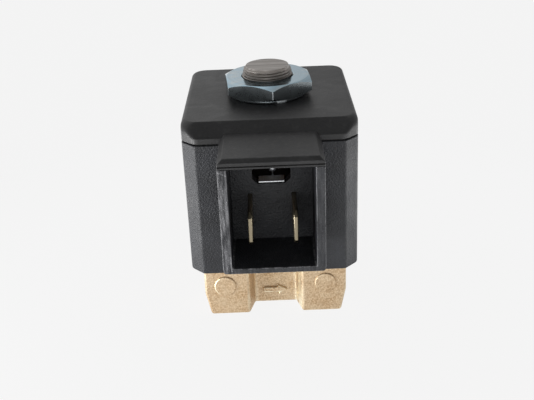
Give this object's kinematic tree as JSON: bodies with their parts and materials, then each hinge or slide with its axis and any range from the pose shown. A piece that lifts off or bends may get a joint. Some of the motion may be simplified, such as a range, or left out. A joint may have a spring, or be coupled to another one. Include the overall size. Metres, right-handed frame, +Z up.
{
  "type": "oil burner solenoid valve",
  "caption": "Direct acting solenoid valve: forged brass body with threaded ports, guide tube with sprung plunger, and a plug-on coil in a black housing held by a hexagon nut.",
  "frame": {"origin": "under the plunger's axis, on the flat base of the brass body", "axes": "+Z up along the plunger's axis, +X along the flow from the inlet to the outlet port, the connector faces -Y"},
  "size_m": [0.032, 0.0474, 0.0485],
  "materials": {
    "brass_forging": "sand blasted forging",
    "turned_brass": "turned",
    "stainless": "ground",
    "core_steel": "turned",
    "zinc_plate": "bright zinc plate",
    "spring_steel": "drawn wire",
    "yoke_steel": "plated strip",
    "copper": "enamelled copper",
    "terminal_brass": "tinned brass",
    "case_plastic": "sparked mould texture",
    "cap_plastic": "satin",
    "bobbin_plastic": "moulded",
    "tape": "dark polyester tape",
    "rubber": "moulded"
  },
  "bodies": {
    "valve": {"valve_body": "brass_forging", "guide_tube": "stainless", "ring_nut": "turned_brass", "body_o_ring": "rubber", "fixed_core": "core_steel", "shading_ring": "copper", "coil_nut": "zinc_plate", "nut_washer": "zinc_plate"},
    "plunger": {"plunger": "stainless", "seat_seal": "rubber", "return_spring": "spring_steel"},
    "coil": {"coil_case": "case_plastic", "top_cap": "cap_plastic", "bobbin": "bobbin_plastic", "winding": "copper", "winding_tape": "tape", "yoke_frame": "yoke_steel", "yoke_plate": "yoke_steel", "terminal_left": "terminal_brass", "terminal_right": "terminal_brass", "earth_clip": "zinc_plate", "lead_left": "copper", "lead_right": "copper"}
  },
  "joints": [
    {"name": "plunger_lift", "type": "slide", "parent": "valve", "child": "plunger", "axis": [0, 0, 1], "range_m": [0, 0.0009], "stiffness_N_per_m": 300, "springref_m": -0.004, "deforming": ["return_spring"]},
    {"name": "coil_swivel", "type": "hinge", "parent": "valve", "child": "coil", "pos_m": [0, 0, 0.0295], "axis": [0, 0, 1], "continuous": true}
  ]
}
